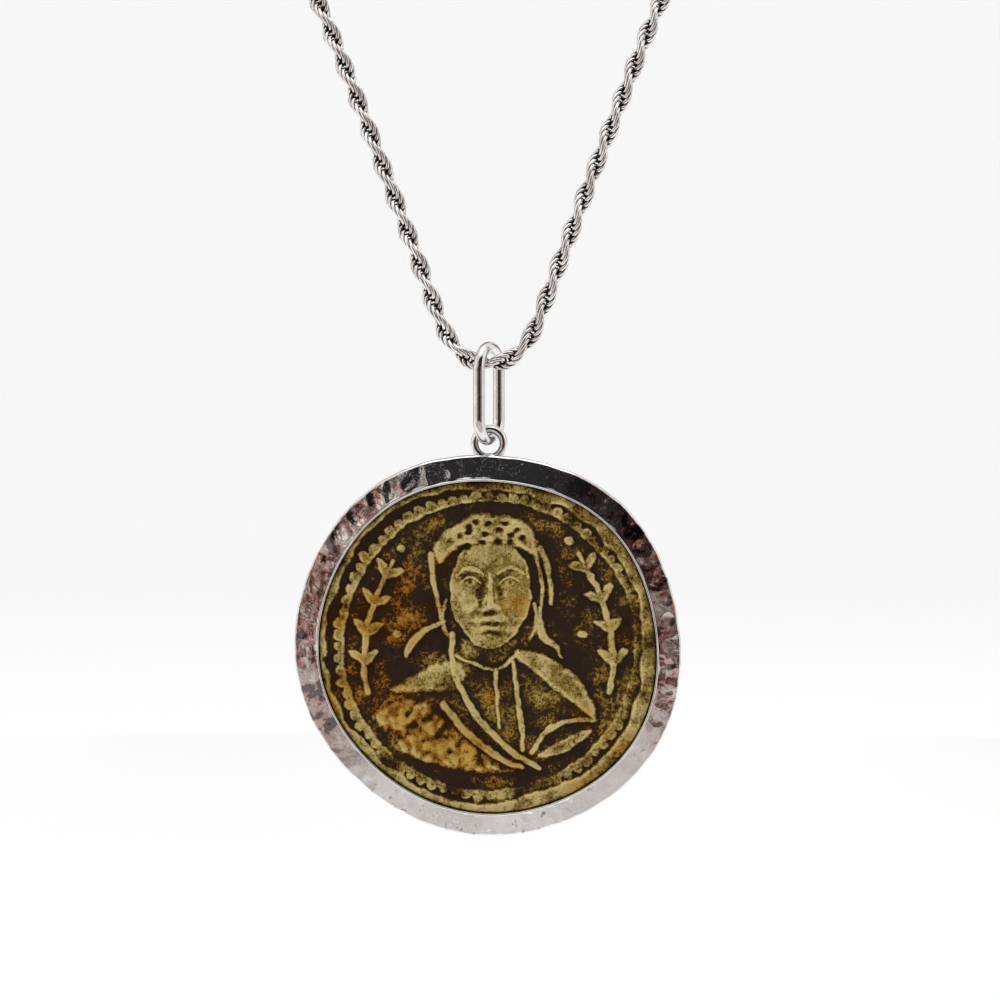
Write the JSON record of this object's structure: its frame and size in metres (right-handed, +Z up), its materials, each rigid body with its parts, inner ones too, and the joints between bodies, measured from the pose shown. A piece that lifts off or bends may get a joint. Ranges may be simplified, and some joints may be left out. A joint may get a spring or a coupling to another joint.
{
  "type": "coin pendant necklace",
  "caption": "Necklace: an old struck bronze coin in a hammered silver frame with a raised collar, hung by a soldered ring and a long oval wire bail on a rope chain.",
  "frame": {"origin": "the point where the clasp rests on the nape of the neck", "axes": "+X to the wearer's left, which is the viewer's right; +Y backwards, away from the neck; +Z up. The coin faces -Y."},
  "size_m": [0.1068, 0.1187, 0.1848],
  "materials": {
    "bronze": "struck and worn, golden on the high points with dark brown patina in the hollows",
    "silver": "polished silver, the flange planished with a round-faced hammer"
  },
  "bodies": {
    "chain": {"rope_chain": "silver", "clasp": "silver"},
    "bail": {"bail": "silver"},
    "pendant": {"frame": "silver", "coin": "bronze"}
  },
  "joints": [
    {"name": "bail_swing", "type": "hinge", "parent": "chain", "child": "bail", "pos_m": [0, -0.112, -0.135], "axis": [1, 0, 0], "range_deg": [-90, 90]},
    {"name": "pendant_sway", "type": "hinge", "parent": "bail", "child": "pendant", "pos_m": [0, -0.112, -0.14271], "axis": [0, 1, 0], "range_deg": [-75, 75]}
  ]
}
